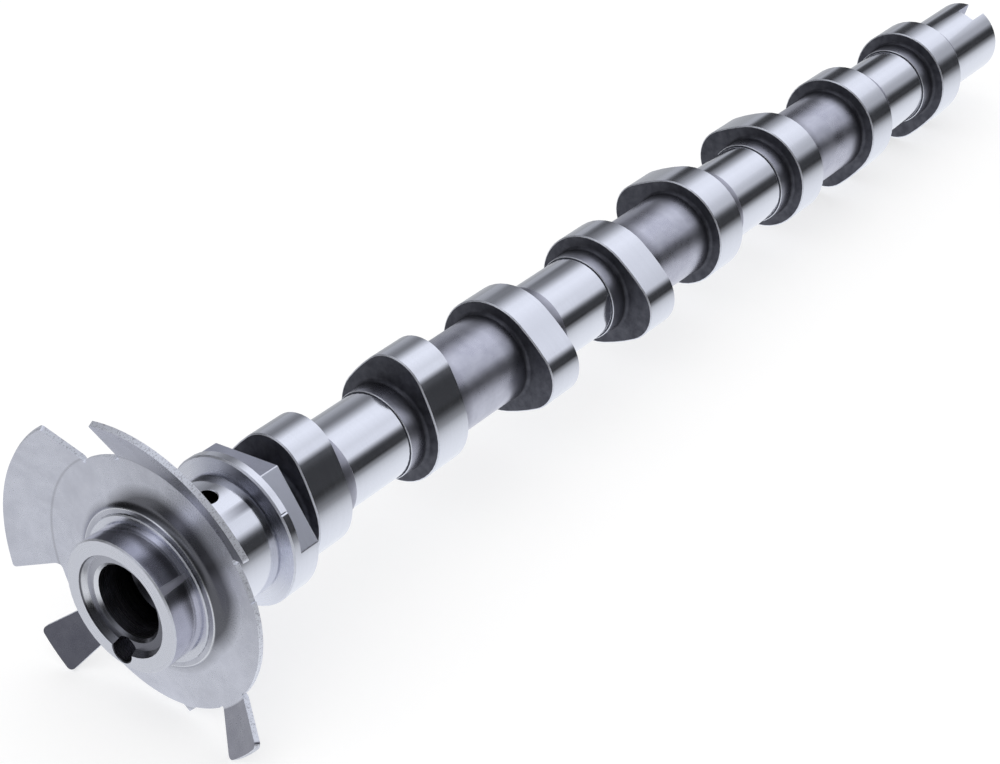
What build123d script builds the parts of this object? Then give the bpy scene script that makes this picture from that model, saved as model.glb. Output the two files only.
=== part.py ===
from build123d import *
import os
from math import acos, atan2, cos, degrees, hypot, radians, sin, tan

# Camshaft of a four-cylinder engine with two valves of one kind to a cylinder.
# It is two pieces: the camshaft, cast with its lobes and then turned and ground, and the
# sensor wheel, a sheet steel pressing that is pushed onto the seat behind the hub.
#
# Frame: the origin is the centre of the hub's front face, +X runs along the shaft to its rear
# end and +Z is up. Sections across the shaft are drawn in the YZ plane. Every angle there is in
# degrees about +X, from +Y towards +Z. Lengths are in millimetres.

# Hub at the front end, which carries the phase adjuster
hub_diameter = 36.0
hub_length = 8.6
hub_edge_chamfer = 0.4
hub_relief_width = 0.9
hub_relief_depth = 0.35

# Recess and bore in the hub's face, and the narrower hole for the bolt behind them
recess_mouth_diameter = 27.7
recess_floor_diameter = 25.8
recess_depth = 1.9
bolt_bore_diameter = 20.0
bolt_bore_depth = 13.0
bolt_bore_chamfer = 0.8
bolt_hole_diameter = 16.5
bolt_hole_depth = 31.0
drill_point_angle = 118.0

# Hole for the pin that sets the adjuster's angle
pin_hole_diameter = 6.3
pin_hole_depth = 6.5
pin_hole_chamfer = 0.2
pin_hole_offset = 13.85
pin_hole_angle = 273.8

# Seat of the sensor wheel
seat_diameter = 40.0
seat_length = 7.0
seat_edge_chamfer = 0.3

# Front journal, and its oil hole at a distance from the wheel seat
front_journal_diameter = 33.0
front_journal_length = 21.6
grinding_relief_width = 0.9
grinding_relief_depth = 0.3
oil_hole_diameter = 5.4
oil_hole_chamfer = 0.25
oil_hole_distance = 13.45
oil_hole_angle = 95.6

# Flange: a thrust face and rim in front, flats for a spanner behind
flange_diameter = 42.0
flange_rim_length = 3.2
thrust_face_rise = 0.8
thrust_face_chamfer = 0.45
across_flats = 36.0
flats_length = 6.3
flat_count = 5
first_flat_angle = 264.0
flats_edge_chamfer = 0.2
flange_root_radius = 1.5

# Timing mark, a groove across the rim
mark_width = 0.8
mark_depth = 0.3
mark_angle = 143.6

# Cast bar and its ground bearing journals
bar_diameter = 26.0
bearing_diameter = 25.0
bearing_width = 21.6
bearing_edge_chamfer = 0.2
bearing_pitch = 90.0

# Cam lobes, one on each side of a bearing, and the gap from the flange to the first
first_lobe_gap = 5.0
lobe_spacing = 46.6
lobe_width = 12.2
base_circle_diameter = 33.8
valve_lift = 4.85
nose_radius = 11.0
flank_radius = 60.0
lobe_edge_chamfer = 0.35
lobe_root_radius = 1.1
first_nose_angle = 97.0
firing_order = (1, 3, 4, 2)

# Rear end, with the slot that drives a pump
rear_neck_length = 6.2
end_journal_diameter = 25.0
end_journal_length = 28.1
end_chamfer = 0.6
slot_width = 6.2
slot_depth = 8.3
slot_corner_radius = 0.8
slot_angle = 105.7
centre_hole_diameter = 4.0
centre_hole_mouth = 9.0
centre_hole_angle = 60.0
centre_hole_depth = 11.0

# Sensor wheel: sheet, collar that grips the seat, and the shallow dish round the collar
sheet = 1.5
wheel_setback = 0.6
fit_clearance = 0.01
collar_height = 1.8
collar_lip = 1.4
collar_foot_diameter = 47.6
collar_entry_radius = 0.8
dish_diameter = 58.0
dish_angle = 4.0
dish_blend_radius = 50.0

# Disc and the four vanes bent forward from it, each given by the angles of its two sides
disc_diameter = 68.0
bend_margin = 0.35
bend_radius = 1.0
vane_length = 12.6
vane_lean_angle = 28.0
left_vane_angles = (-15.3, 52.1)
right_vane_angles = (76.0, 143.5)
right_tab_angles = (216.0, 232.4)
left_tab_angles = (305.8, 322.5)
vane_corner_radius = 0.8
tab_corner_radius = 1.5

# Marks of the blanking tool: bending notches, a rounded root, a step and a nib on the disc's edge
notch_radius = 0.7
left_vane_root_radius = 2.0
step_depth = 0.4
step_end_angle = 163.0
nib_height = 1.7
nib_angle = 255.2
nib_start_angle = 250.2
nib_end_angle = 257.8


def polar(radius, angle):
    """Point of a section across the shaft, from its radius and its angle."""
    return radius * cos(radians(angle)), radius * sin(radians(angle))


def drill_point(radius, angle=drill_point_angle):
    """Length of the cone that a drill or a centre of this radius leaves."""
    return radius / tan(radians(angle / 2))


def axis_distance(edge):
    """Distance of an edge's middle from the shaft's axis."""
    middle = edge @ 0.5
    return hypot(middle.Y, middle.Z)


# Stations along the shaft
seat_front = hub_length
seat_rear = seat_front + seat_length
flange_front = seat_rear + front_journal_length
flats_front = flange_front + flange_rim_length
flats_rear = flats_front + flats_length
first_bearing = flats_rear + first_lobe_gap + (lobe_width + lobe_spacing) / 2
bearings = [first_bearing + number * bearing_pitch for number in range(len(firing_order))]
lobes = [bearing + side * lobe_spacing / 2 for bearing in bearings for side in (-1, 1)]
bar_rear = lobes[-1] + lobe_width / 2 + rear_neck_length
shaft_rear = bar_rear + end_journal_length

# Radii
hub_radius = hub_diameter / 2
seat_radius = seat_diameter / 2
front_journal_radius = front_journal_diameter / 2
flange_radius = flange_diameter / 2
bar_radius = bar_diameter / 2
bearing_radius = bearing_diameter / 2
base_radius = base_circle_diameter / 2
bore_radius = bolt_bore_diameter / 2
bolt_hole_radius = bolt_hole_diameter / 2
relief_radius = front_journal_radius - grinding_relief_depth
thrust_radius = flange_radius - thrust_face_chamfer

# Camshaft
with BuildPart() as camshaft:
    # Hub, wheel seat, front journal and flange are turned in one setting
    with BuildSketch(Plane.XY):
        with BuildLine():
            Polyline(
                (0, 0),
                (0, hub_radius - hub_edge_chamfer),
                (hub_edge_chamfer, hub_radius),
                (seat_front - hub_relief_width, hub_radius),
                (seat_front - hub_relief_width, hub_radius - hub_relief_depth),
                (seat_front, hub_radius - hub_relief_depth),
                (seat_front, seat_radius - seat_edge_chamfer),
                (seat_front + seat_edge_chamfer, seat_radius),
                (seat_rear, seat_radius),
                (seat_rear, relief_radius),
                (seat_rear + grinding_relief_width, relief_radius),
                (seat_rear + grinding_relief_width, front_journal_radius),
                (flange_front - grinding_relief_width, front_journal_radius),
                (flange_front - grinding_relief_width, relief_radius),
                (flange_front, relief_radius),
                (flange_front + thrust_face_rise, thrust_radius),
                (flange_front + thrust_face_rise + thrust_face_chamfer, flange_radius),
                (flats_rear, flange_radius),
                (flats_rear, 0),
                close=True,
            )
        make_face()
    revolve(axis=Axis.X)

    # Flats of a hexagon, with its last side left round
    with BuildSketch(Plane.YZ.offset(flats_front)):
        with PolarLocations(across_flats / 2, flat_count, first_flat_angle, 60 * flat_count):
            Rectangle(flange_diameter, flange_diameter, align=(Align.MIN, Align.CENTER))
    extrude(amount=flats_length, mode=Mode.SUBTRACT)
    flats_corners = camshaft.edges().filter_by(Axis.X).filter_by_position(Axis.X, flats_front, flats_rear)
    chamfer(flats_corners + camshaft.faces().sort_by(Axis.X)[-1].edges(), flats_edge_chamfer)

    # Timing mark, cut along the shaft from the thrust face to the flats
    with BuildSketch(Plane.YZ.offset(flange_front)):
        with Locations(Location((0, 0, 0), (0, 0, mark_angle))):
            Polygon(
                (flange_radius - mark_depth, 0),
                (flange_radius + mark_depth, mark_width),
                (flange_radius + mark_depth, -mark_width),
                align=None,
            )
    extrude(amount=flats_front - flange_front, mode=Mode.SUBTRACT)

    # Cast bar
    with BuildSketch(Plane.YZ.offset(flats_rear)):
        Circle(bar_radius)
    extrude(amount=bar_rear - flats_rear)
    bar_start = camshaft.edges().filter_by_position(Axis.X, flats_rear, flats_rear)
    fillet(bar_start.filter_by(GeomType.CIRCLE).sort_by(SortBy.RADIUS)[0], flange_root_radius)

    # Bearing journals, ground a little below the cast bar
    for bearing in bearings:
        with BuildSketch(Plane.YZ.offset(bearing - bearing_width / 2)):
            Circle(bar_radius + lobe_root_radius)
            Circle(bearing_radius, mode=Mode.SUBTRACT)
        extrude(amount=bearing_width, mode=Mode.SUBTRACT)
    bearing_ends = [bearing + side * bearing_width / 2 for bearing in bearings for side in (-1, 1)]
    bearing_edges = camshaft.edges().filter_by(GeomType.CIRCLE).filter_by(
        lambda edge: min(abs(edge.arc_center.X - bearing_end) for bearing_end in bearing_ends) < 1e-3
        and abs(edge.radius - bar_radius) < 1e-3
    )
    chamfer(bearing_edges, bearing_edge_chamfer)

    # Lobes: a base circle and a nose, joined by slightly convex flanks that touch both. Angles here
    # are from the middle of the nose. A cylinder's two lobes share one angle, and each cylinder
    # fires a quarter turn after the one before it.
    nose_offset = base_radius + valve_lift - nose_radius
    flank_offset = flank_radius - base_radius
    flank_reach = flank_radius - nose_radius
    flank_cosine = (flank_offset**2 + nose_offset**2 - flank_reach**2) / (2 * flank_offset * nose_offset)
    flank_start = 180 - degrees(acos(flank_cosine))
    flank_height = flank_offset * sin(radians(flank_start))
    flank_end = degrees(atan2(flank_height, nose_offset + flank_offset * cos(radians(flank_start))))
    for number, lobe in enumerate(lobes):
        cylinder = number // 2 + 1
        nose_angle = first_nose_angle - 90 * firing_order.index(cylinder)
        with BuildSketch(Plane.YZ.offset(lobe - lobe_width / 2)):
            with BuildLine():
                CenterArc((0, 0), base_radius, nose_angle + flank_start, 360 - 2 * flank_start)
                nose_centre = polar(nose_offset, nose_angle)
                CenterArc(nose_centre, nose_radius, nose_angle - flank_end, 2 * flank_end)
                for side in (-1, 1):
                    flank_centre = polar(-flank_offset, nose_angle + side * flank_start)
                    flank_turn = side * (flank_start - flank_end)
                    CenterArc(flank_centre, flank_radius, nose_angle + side * flank_end, flank_turn)
            make_face()
        extrude(amount=lobe_width)

    # The ground edges of the lobes are broken, and their faces run into the bar with a fillet
    lobe_faces = [lobe + side * lobe_width / 2 for lobe in lobes for side in (-1, 1)]
    middle_radius = (base_radius + bar_radius) / 2
    face_edges = ShapeList()
    for lobe_face in lobe_faces:
        face_edges += camshaft.edges().filter_by_position(Axis.X, lobe_face, lobe_face)
    chamfer(face_edges.filter_by(lambda edge: axis_distance(edge) > middle_radius), lobe_edge_chamfer)
    roots = camshaft.edges().filter_by(GeomType.CIRCLE).filter_by(
        lambda edge: min(abs(edge.arc_center.X - lobe_face) for lobe_face in lobe_faces) < 1e-3
        and abs(edge.radius - bar_radius) < 1e-3
    )
    fillet(roots, lobe_root_radius)

    # End journal and the centre that it is ground on
    with BuildSketch(Plane.YZ.offset(bar_rear)):
        Circle(end_journal_diameter / 2)
    extrude(amount=end_journal_length)
    chamfer(camshaft.faces().sort_by(Axis.X)[-1].edges(), end_chamfer)
    centre_cone = drill_point((centre_hole_mouth - centre_hole_diameter) / 2, centre_hole_angle)
    centre_tip = drill_point(centre_hole_diameter / 2)
    with BuildSketch(Plane.XY):
        with BuildLine():
            Polyline(
                (shaft_rear, 0),
                (shaft_rear, centre_hole_mouth / 2),
                (shaft_rear - centre_cone, centre_hole_diameter / 2),
                (shaft_rear - centre_hole_depth, centre_hole_diameter / 2),
                (shaft_rear - centre_hole_depth - centre_tip, 0),
                close=True,
            )
        make_face()
    revolve(axis=Axis.X, mode=Mode.SUBTRACT)

    # Drive slot across the end, drawn along its length
    slot_direction = (0, *polar(1, slot_angle))
    slot_plane = Plane(origin=(shaft_rear, 0, 0), x_dir=(1, 0, 0), z_dir=slot_direction)
    with BuildSketch(slot_plane) as slot:
        Rectangle(2 * slot_depth, slot_width)
        fillet(slot.vertices().group_by(Axis.X)[0], slot_corner_radius)
    extrude(amount=end_journal_diameter, both=True, mode=Mode.SUBTRACT)

    # Recess, bolt bore and, behind a lead-in, the drilled hole that the bolt goes into
    lead_in = bore_radius - bolt_hole_radius
    bolt_hole_end = bolt_bore_depth + bolt_hole_depth
    with BuildSketch(Plane.XY):
        with BuildLine():
            Polyline(
                (0, 0),
                (0, recess_mouth_diameter / 2),
                (recess_depth, recess_floor_diameter / 2),
                (recess_depth, bore_radius + bolt_bore_chamfer),
                (recess_depth + bolt_bore_chamfer, bore_radius),
                (bolt_bore_depth, bore_radius),
                (bolt_bore_depth + lead_in, bolt_hole_radius),
                (bolt_hole_end, bolt_hole_radius),
                (bolt_hole_end + drill_point(bolt_hole_radius), 0),
                close=True,
            )
        make_face()
    revolve(axis=Axis.X, mode=Mode.SUBTRACT)

    # Pin hole beside the bore, with a broken mouth
    with BuildSketch(Plane.YZ):
        with Locations(polar(pin_hole_offset, pin_hole_angle)):
            Circle(pin_hole_diameter / 2)
    extrude(amount=pin_hole_depth, mode=Mode.SUBTRACT)
    with BuildSketch(Plane.YZ):
        with Locations(polar(pin_hole_offset, pin_hole_angle)):
            Circle(pin_hole_diameter / 2 + pin_hole_chamfer)
    extrude(amount=pin_hole_chamfer, taper=45, mode=Mode.SUBTRACT)

    # Oil hole from the front journal into the bolt hole, with a countersunk mouth
    oil_hole_foot = (seat_rear + oil_hole_distance, 0, 0)
    oil_plane = Plane(origin=oil_hole_foot, z_dir=(0, *polar(1, oil_hole_angle)))
    with BuildSketch(oil_plane):
        Circle(oil_hole_diameter / 2)
    extrude(amount=front_journal_diameter, mode=Mode.SUBTRACT)
    with BuildSketch(oil_plane.offset(front_journal_radius)):
        Circle(oil_hole_diameter / 2 + oil_hole_chamfer)
    extrude(amount=-oil_hole_chamfer, taper=45, mode=Mode.SUBTRACT)

camshaft.part.label = "camshaft"

# Sensor wheel: the section is formed all round, then cut to the outline of the blank
lip_front = seat_front + wheel_setback
plate_front = lip_front + collar_height
plate_rear = plate_front + sheet
collar_radius = seat_radius + fit_clearance
foot_radius = collar_foot_diameter / 2
dish_radius = dish_diameter / 2
dish_slope = tan(radians(dish_angle))
disc_radius = disc_diameter / 2
bend_line = disc_radius + bend_margin
lean = radians(vane_lean_angle)
lip_edge = (lip_front, collar_radius + collar_lip)
collar_foot = (plate_front - (dish_radius - foot_radius) * dish_slope, foot_radius)
vane_tip = (plate_front - vane_length * sin(lean), bend_line + vane_length * cos(lean))
vane_tip_rear = (vane_tip[0] + sheet * cos(lean), vane_tip[1] + sheet * sin(lean))
bend_front = (plate_front, bend_line)
bend_rear = (plate_rear, bend_line + sheet * tan(lean / 2))
dish_front = (plate_front, dish_radius)
dish_rear = (plate_rear, dish_radius)
bore_rear = (plate_rear - (dish_radius - collar_radius) * dish_slope, collar_radius)
flat_ring = bend_line - dish_radius - (bend_radius + sheet) * tan(lean / 2)
dish_blend = min(dish_blend_radius, 0.9 * flat_ring / tan(radians(dish_angle / 2)) - sheet)

with BuildPart() as sensor_wheel:
    # Collar, dish, plate and the cone that the vanes are bent to
    with BuildSketch(Plane.XY) as section:
        with BuildLine():
            Polyline(collar_foot, dish_front, bend_front, vane_tip, vane_tip_rear)
            Polyline(vane_tip_rear, bend_rear, dish_rear, bore_rear, (lip_front, collar_radius), lip_edge)
            TangentArc(collar_foot, lip_edge, tangent=(-dish_slope, -1))
        make_face()
        for corner, radius in (
            (bend_front, bend_radius),
            (bend_rear, bend_radius + sheet),
            (dish_front, dish_blend),
            (dish_rear, dish_blend + sheet),
            (bore_rear, collar_entry_radius),
        ):
            fillet(section.vertices().sort_by_distance(corner)[0], radius)
    revolve(axis=Axis.X)

    # Outline of the blank: the disc, its stepped and notched edge, and its vanes
    tabs = (right_tab_angles, left_tab_angles)
    vanes = (left_vane_angles, right_vane_angles, *tabs)
    blank_reach = 2 * vane_tip_rear[1]
    notch_turn = degrees(notch_radius / disc_radius)
    with BuildSketch(Plane.YZ.offset(vane_tip[0] - sheet)) as blank:
        Circle(disc_radius)
        with BuildLine():
            step = step_end_angle - right_vane_angles[1]
            step_edge = CenterArc((0, 0), disc_radius - step_depth, right_vane_angles[1], step)
            waste_edge = CenterArc((0, 0), disc_radius + step_depth, right_vane_angles[1], step)
            Line(step_edge @ 0, waste_edge @ 0)
            Line(step_edge @ 1, waste_edge @ 1)
        make_face(mode=Mode.SUBTRACT)
        for start, end in vanes:
            Polygon((0, 0), polar(blank_reach, start), polar(blank_reach, end), align=None)
        left_vane_root = polar(disc_radius, left_vane_angles[0])
        fillet(blank.vertices().sort_by_distance(left_vane_root)[0], left_vane_root_radius)
        notches = [end + notch_turn for start, end in vanes]
        notches += [start - notch_turn for start, end in vanes if (start, end) != left_vane_angles]
        with Locations([polar(disc_radius, notch) for notch in notches]):
            Circle(notch_radius, mode=Mode.SUBTRACT)
    extrude(amount=plate_rear - vane_tip[0] + 2 * sheet, mode=Mode.INTERSECT)

    # Corners of the vanes, rounder on the narrow ones
    tips = sensor_wheel.edges().filter_by(GeomType.LINE).filter_by(
        lambda edge: axis_distance(edge) > vane_tip[1] and abs(edge.length - sheet) < 1e-3
    )
    for sides in vanes:
        corner_radius = tab_corner_radius if sides in tabs else vane_corner_radius
        for side in sides:
            side_corner = (vane_tip[0], *polar(vane_tip[1], side))
            fillet(tips.sort_by_distance(side_corner)[0], corner_radius)

    # Nib left where the blank broke from its strip
    with BuildSketch(Plane.YZ.offset(plate_front)):
        Polygon(
            polar(dish_radius, nib_angle),
            polar(disc_radius, nib_start_angle),
            polar(disc_radius + nib_height, nib_angle),
            polar(disc_radius, nib_end_angle),
            align=None,
        )
    extrude(amount=sheet)

sensor_wheel.part.label = "sensor_wheel"

os.makedirs("parts", exist_ok=True)
export_step(camshaft.part, "parts/camshaft.step")
export_step(sensor_wheel.part, "parts/sensor_wheel.step")
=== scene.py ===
# %% [markdown]
# # Dressing a camshaft
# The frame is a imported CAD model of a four-cylinder camshaft with its sensor wheel. Its shapes
# are finished, so this lesson is about steel: the same metal looks like a mirror where it was
# ground, like silk where it was turned, and like slate where the casting skin was left on.

# %% Load the frame
from math import atan2, cos, degrees, hypot, pi, radians, sin

import bpy
from mathutils import Matrix, Vector

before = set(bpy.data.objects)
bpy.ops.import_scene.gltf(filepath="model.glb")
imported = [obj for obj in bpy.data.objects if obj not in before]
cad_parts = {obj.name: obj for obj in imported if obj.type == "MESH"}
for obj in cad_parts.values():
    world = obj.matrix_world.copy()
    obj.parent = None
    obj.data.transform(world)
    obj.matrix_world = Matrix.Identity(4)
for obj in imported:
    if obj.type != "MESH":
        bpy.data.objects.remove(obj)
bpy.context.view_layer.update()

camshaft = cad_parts["camshaft"]
sensor_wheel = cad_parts["sensor_wheel"]
scene = bpy.context.scene

# %% [markdown]
# ## Stations along the shaft
# The finishes change from one zone of the shaft to the next, so the scene needs to know where
# each zone is. The lengths below are those of the shaft's drawing, in millimetres from the
# front face of the hub. Blender works in metres, so a length is multiplied by MM on its way in.

# %% Stations
MM = 0.001
MM_PER_METRE = 1000.0
HUB_REAR = 8.6
SEAT_REAR = 15.6
FLANGE_FRONT = 37.2
RIM_REAR = 40.4
FLATS_REAR = 46.7
FIRST_BEARING = 81.1
BEARING_PITCH = 90.0
BEARINGS = [FIRST_BEARING + BEARING_PITCH * number for number in range(4)]
BEARING_WIDTH = 21.6
LOBE_OFFSET = 23.3
LOBES = [bearing + side * LOBE_OFFSET for bearing in BEARINGS for side in (-1, 1)]
LOBE_WIDTH = 12.2
BAR_REAR = 386.7
print("lobes at", [round(lobe, 1) for lobe in LOBES])

# %% [markdown]
# ## Camera
# A long lens stands in front of the hub, to one side and above, and looks along the shaft. The
# camera's place and two of its directions are written as numbers, in the frame of the part, and
# the third direction follows from them.

# %% Camera
LENS = 83.66
PICTURE_WIDTH = 36.0
NEAREST = 0.01
FARTHEST = 20.0
CAMERA_PLACE = Vector((-288.11, -330.56, 341.51)) * MM
CAMERA_RIGHT = Vector((0.61171, -0.79099, 0.01181))
CAMERA_UP = Vector((0.42276, 0.33949, 0.84025))

camera_data = bpy.data.cameras.new("studio_camera")
camera_data.lens = LENS
camera_data.sensor_width = PICTURE_WIDTH
camera_data.clip_start = NEAREST
camera_data.clip_end = FARTHEST
camera = bpy.data.objects.new("studio_camera", camera_data)
scene.collection.objects.link(camera)
backward = CAMERA_RIGHT.cross(CAMERA_UP)
turn = Matrix((CAMERA_RIGHT, CAMERA_UP, backward)).transposed()
camera.matrix_world = Matrix.Translation(CAMERA_PLACE) @ turn.to_4x4()
scene.camera = camera
scene.view_settings.view_transform = "Standard"
print("camera is", round(CAMERA_PLACE.length, 3), "m from the hub")

# %% [markdown]
# ## Node helpers
# A material is a small graph. These helpers add a node, set its values and join its sockets, so
# that each material below reads as a short list of steps. Wherever a helper takes a socket, a
# plain value will do as well.

# %% Node helpers
def add_node(tree, kind, **values):
    """A node of this kind, with its properties or the values of its sockets set by name."""
    node = tree.nodes.new(kind)
    for name, value in values.items():
        if hasattr(node, name):
            setattr(node, name, value)
        else:
            node.inputs[name.replace("_", " ")].default_value = value
    return node


def join(tree, source, target):
    """Join an output to an input, or set the input where the source is a plain value."""
    if isinstance(source, bpy.types.NodeSocket):
        tree.links.new(source, target)
    else:
        target.default_value = source


def split(tree, vector):
    """The X, Y and Z of a vector, as sockets by those names."""
    node = add_node(tree, "ShaderNodeSeparateXYZ")
    join(tree, vector, node.inputs[0])
    return node.outputs


def calc(tree, operation, first, second=0.0, clamp=False):
    """The result of a Math node."""
    node = add_node(tree, "ShaderNodeMath", operation=operation, use_clamp=clamp)
    join(tree, first, node.inputs[0])
    join(tree, second, node.inputs[1])
    return node.outputs[0]


def remap(tree, value, low, high, new_low=0.0, new_high=1.0):
    """The value moved from one range to another, and kept within the new one."""
    node = add_node(tree, "ShaderNodeMapRange", clamp=True)
    join(tree, value, node.inputs["Value"])
    node.inputs["From Min"].default_value = low
    node.inputs["From Max"].default_value = high
    node.inputs["To Min"].default_value = new_low
    node.inputs["To Max"].default_value = new_high
    return node.outputs["Result"]


def blend_colour(tree, share, first, second):
    """The first colour with a share of the second."""
    node = add_node(tree, "ShaderNodeMix", data_type="RGBA", blend_type="MIX")
    join(tree, share, node.inputs["Factor"])
    for source, target in ((first, node.inputs[6]), (second, node.inputs[7])):
        is_socket = isinstance(source, bpy.types.NodeSocket)
        join(tree, source if is_socket else (*source, 1.0), target)
    return node.outputs[2]


print("node helpers are ready")

# %% [markdown]
# ## Studio
# Bright steel shows its surroundings, so they are designed with the same care as the metal. The
# shaft lies along X, and each point of a cylinder mirrors one direction across the shaft. The
# world therefore changes mainly with the angle across the shaft: a wide soft ceiling, a grey
# wall behind, and a dark gap low down on the camera's side. That gap draws the sharp black line
# along every journal. A Color Ramp over the angle holds all of it.

# %% Studio light
# Angle across the shaft in degrees, from +Y through straight up, and the light from there
STUDIO_BANDS = (
    (-20, 0.43), (5, 0.42), (18, 0.36), (30, 0.25), (42, 0.20), (50, 0.27), (58, 0.44),
    (66, 0.66), (74, 0.87), (92, 0.93), (106, 0.86), (122, 0.76), (136, 0.81), (145, 0.78),
    (150, 0.52), (154, 0.29), (159, 0.09), (165, 0.04), (178, 0.04), (183, 0.06),
)
COOL_LIGHT = (1.0, 1.035, 1.12)


def grey_ramp(tree, value, stops, tint):
    """A Color Ramp through (position, brightness) stops, with positions from 0 to 1."""
    ramp = add_node(tree, "ShaderNodeValToRGB")
    elements = ramp.color_ramp.elements
    elements.remove(elements[1])
    elements[0].position = stops[0][0]
    for position, level in stops[1:]:
        elements.new(position)
    for element, (position, level) in zip(elements, stops):
        element.color = (*[level * share for share in tint], 1.0)
    join(tree, value, ramp.inputs["Fac"])
    return ramp.outputs["Color"]


world = bpy.data.worlds.new("studio")
scene.world = world
world.use_nodes = True
tree = world.node_tree
tree.nodes.clear()
direction = add_node(tree, "ShaderNodeTexCoord").outputs["Generated"]
axes = split(tree, direction)
angle = calc(tree, "ARCTAN2", axes["Z"], axes["Y"])
band_stops = [((band + 180) / 360, level) for band, level in STUDIO_BANDS]
light = grey_ramp(tree, remap(tree, angle, -pi, pi), band_stops, COOL_LIGHT)
print("studio has", len(STUDIO_BANDS), "bands of light")

# %% [markdown]
# ## Dark cards
# A photographer holds black cards beside polished metal where its light has to fall off. Here
# a card is a direction with a soft edge, since the dot product of two directions is the cosine
# of the angle between them. Two cards stand in front of the hub and two beyond the rear end.

# %% Dark cards
# Each card: its direction, the angles from it in degrees at which it is full and gone, and its
# share of black
DARK_CARDS = (
    ((-0.52, -0.59, 0.61), 32, 46, 0.88),
    ((-0.52, 0.85, 0.05), 22, 44, 0.93),
    ((0.80, 0.53, 0.28), 5, 11, 0.80),
    ((0.86, -0.40, 0.31), 5, 16, 0.50),
)
BLACK = (0.0, 0.0, 0.0)

for card, full, gone, share in DARK_CARDS:
    nearness = add_node(tree, "ShaderNodeVectorMath", operation="DOT_PRODUCT")
    join(tree, direction, nearness.inputs[0])
    nearness.inputs[1].default_value = Vector(card).normalized()
    start = cos(radians(gone))
    end = cos(radians(full))
    shade = remap(tree, nearness.outputs["Value"], start, end, 0.0, share)
    light = blend_colour(tree, shade, light, BLACK)
print("studio has", len(DARK_CARDS), "dark cards")

# %% [markdown]
# ## White room
# Only mirrors need the bands and the cards. The camera's own rays and diffuse rays see plain
# white instead, which keeps the background white and the level of the light plain. A Light Path
# node tells the rays apart.

# %% White room
mirrored = add_node(tree, "ShaderNodeBackground")
join(tree, light, mirrored.inputs["Color"])
plain = add_node(tree, "ShaderNodeBackground", Color=(1.0, 1.0, 1.0, 1.0))


def by_glossy_ray(tree, others, glossy, output):
    """Show one shader to glossy rays and another one to all others."""
    rays = add_node(tree, "ShaderNodeLightPath")
    choice = add_node(tree, "ShaderNodeMixShader")
    join(tree, rays.outputs["Is Glossy Ray"], choice.inputs[0])
    join(tree, others.outputs[0], choice.inputs[1])
    join(tree, glossy.outputs[0], choice.inputs[2])
    join(tree, choice.outputs[0], add_node(tree, output).inputs["Surface"])


by_glossy_ray(tree, plain, mirrored, "ShaderNodeOutputWorld")
print("world is", world.name)

# %% [markdown]
# ## Floor
# The shaft comes to rest on the nose of its last lobe and on the corners of the two narrow
# vanes of the wheel. Three points make a plane, so the floor is a large disc laid under them,
# and it leans a little in the frame of the part. Its place and its lean go into its mesh.

# %% Floor
LAST_LOBE_FRONT = LOBES[-1] - LOBE_WIDTH / 2
NOSE_REACH = 21.75
NOSE_ANGLE = 277.0
VANE_TIP_X = 5.1
VANE_TIP_REACH = 45.3
VANE_CORNERS = (232.4, 305.8)
FLOOR_CLEARANCE = 0.1
FLOOR_RADIUS = 3.0
FLOOR_SIDES = 96


def shaft_point(x, reach, angle):
    """The point at this station, distance from the axis and angle in degrees."""
    return Vector((x, reach * cos(radians(angle)), reach * sin(radians(angle))))


contacts = [shaft_point(LAST_LOBE_FRONT, NOSE_REACH, NOSE_ANGLE)]
contacts += [shaft_point(VANE_TIP_X, VANE_TIP_REACH, corner) for corner in VANE_CORNERS]
floor_normal = (contacts[1] - contacts[0]).cross(contacts[2] - contacts[0]).normalized()
if floor_normal.z < 0:
    floor_normal.negate()
floor_place = (sum(contacts, Vector()) / 3 - floor_normal * FLOOR_CLEARANCE) * MM
floor_lean = floor_normal.to_track_quat("Z", "Y").to_matrix().to_4x4()
bpy.ops.object.select_all(action="DESELECT")
bpy.ops.mesh.primitive_circle_add(vertices=FLOOR_SIDES, radius=FLOOR_RADIUS, fill_type="NGON")
floor = bpy.context.object
floor.name = "studio_floor"
floor.data.transform(Matrix.Translation(floor_place) @ floor_lean)
print("floor leans", round(degrees(floor_normal.angle(Vector((0, 0, 1)))), 2), "degrees")

# %% [markdown]
# ## Pool of light
# The steel sees a pool of light on the floor under the shaft. It fades to both sides, and that
# fade gives the lower half of each cylinder its soft roundness. In front of the hub it is one
# even grey, because the flat faces there mirror a single spot each, and beyond the rear end it
# is darker.

# %% Pool of light
# Place across the shaft in mm, and the light that the steel sees there
FLOOR_POOL = (
    (-600, 0.05), (-350, 0.10), (-148, 0.29), (-91, 0.56), (-64, 0.69), (-47, 0.77),
    (-30, 0.84), (0, 0.90), (14, 0.97), (34, 0.80), (58, 0.51), (160, 0.41), (380, 0.37),
)
POOL_REACH = 800.0
POOL_TINT = (1.0, 1.03, 1.08)
# The even grey in front of the hub, and where it starts and is full along X
FRONT_LIGHT = (0.65, 0.665, 0.69)
FRONT_ALONG = (24.0, 4.0)
# The share of black beyond the rear end, and where it starts and is full along X and across
REAR_SHADE = 0.45
REAR_ALONG = (280.0, 560.0)
REAR_ACROSS = (-30.0, -100.0)


def fade(tree, value, ends, start=0.0, full=1.0):
    """A mask that goes from one share to another between two places in mm."""
    return remap(tree, value, ends[0] * MM, ends[1] * MM, start, full)


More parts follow.
